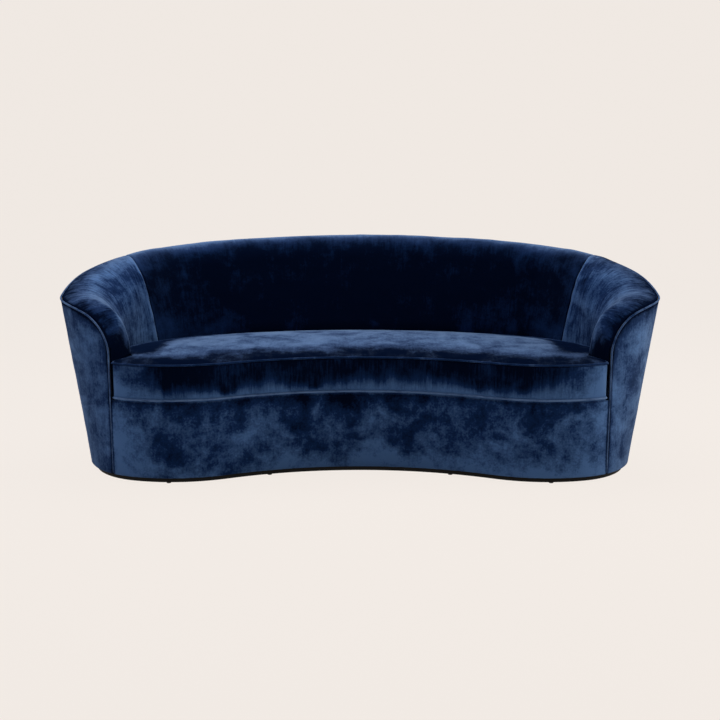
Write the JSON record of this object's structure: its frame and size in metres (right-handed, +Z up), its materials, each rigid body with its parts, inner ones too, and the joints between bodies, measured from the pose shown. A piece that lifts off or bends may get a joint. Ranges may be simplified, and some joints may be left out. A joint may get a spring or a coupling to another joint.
{
  "type": "curved tub sofa",
  "caption": "Curved kidney-shaped tub sofa: a back that wraps round into low rolled arms, a loose seat cushion with welted edges, a plain front border and a recessed plinth.",
  "frame": {"origin": "on the floor under the middle of the sofa's overall box", "axes": "+Z up, +X to the right as seen from the front, -Y towards the front"},
  "size_m": [2.254, 0.9264, 0.824],
  "materials": {
    "navy_velvet": "cut-pile velvet with a soft sheen",
    "navy_velvet_cord": "velvet-covered piping cord",
    "seat_foam": "open-cell polyurethane foam",
    "birch_plywood": "sanded, unfinished",
    "beech": "planed, unfinished",
    "black_plinth": "satin black paint on plywood",
    "fibre_board": "plain hardboard",
    "webbing": "elastic upholstery webbing",
    "spring_steel": "oiled wire",
    "clip_plastic": "moulded",
    "felt": "needled felt",
    "deck_cloth": "plain woven deck cloth",
    "black_cambric": "non-woven cloth",
    "nylon": "moulded",
    "zinc_steel": "zinc plated",
    "zip_tape": "woven tape with nylon coil",
    "zip_metal": "lacquered die casting"
  },
  "bodies": {
    "sofa_frame": {"arm_front_board_left": "birch_plywood", "arm_front_board_right": "birch_plywood", "arm_front_pad_left": "seat_foam", "arm_front_pad_right": "seat_foam", "arm_pad_left": "seat_foam", "arm_pad_right": "seat_foam", "arm_posts": "beech", "back_pad": "seat_foam", "back_posts": "beech", "back_webbing": "webbing", "base_posts": "beech", "base_rail_back": "birch_plywood", "base_rail_end_left": "birch_plywood", "base_rail_end_right": "birch_plywood", "base_rail_front": "birch_plywood", "cross_braces": "beech", "deck_cover": "deck_cloth", "deck_felt": "felt", "dust_cover": "black_cambric", "floor_glides": "nylon", "front_board": "birch_plywood", "front_border_cover": "navy_velvet", "front_border_pad": "seat_foam", "inside_arm_cover_left": "navy_velvet", "inside_arm_cover_right": "navy_velvet", "inside_back_cover": "navy_velvet", "outside_arm_cover_left": "navy_velvet", "outside_arm_cover_right": "navy_velvet", "outside_arm_liner_left": "fibre_board", "outside_arm_liner_right": "fibre_board", "outside_back_cover": "navy_velvet", "outside_back_liner": "fibre_board", "plinth_back": "black_plinth", "plinth_end_left": "black_plinth", "plinth_end_right": "black_plinth", "plinth_front": "black_plinth", "plinth_screws": "zinc_steel", "seat_rail_back": "birch_plywood", "seat_rail_end_left": "birch_plywood", "seat_rail_end_right": "birch_plywood", "seat_rail_front": "birch_plywood", "sinuous_springs": "spring_steel", "spring_clips": "clip_plastic", "top_rail_arm_left": "birch_plywood", "top_rail_arm_right": "birch_plywood", "top_rail_back": "birch_plywood", "welt_arm_left": "navy_velvet_cord", "welt_arm_right": "navy_velvet_cord", "welt_back": "navy_velvet_cord", "welt_front_left": "navy_velvet_cord", "welt_front_right": "navy_velvet_cord"},
    "seat_cushion": {"cushion_core": "seat_foam", "cushion_top_panel": "navy_velvet", "cushion_bottom_panel": "navy_velvet", "cushion_boxing": "navy_velvet", "cushion_zip_boxing": "navy_velvet", "cushion_welt_top": "navy_velvet_cord", "cushion_welt_bottom": "navy_velvet_cord", "zip_tape": "zip_tape"},
    "zip_pull": {"zip_slider": "zip_metal"}
  },
  "joints": [
    {"name": "cushion_lift", "type": "slide", "parent": "sofa_frame", "child": "seat_cushion", "axis": [0, 0, 1], "range_m": [0, 0.55]},
    {"name": "zip_run", "type": "hinge", "parent": "seat_cushion", "child": "zip_pull", "pos_m": [0, -1.41866, 0.379], "axis": [0, 0, 1], "range_deg": [0, 19.7]}
  ]
}
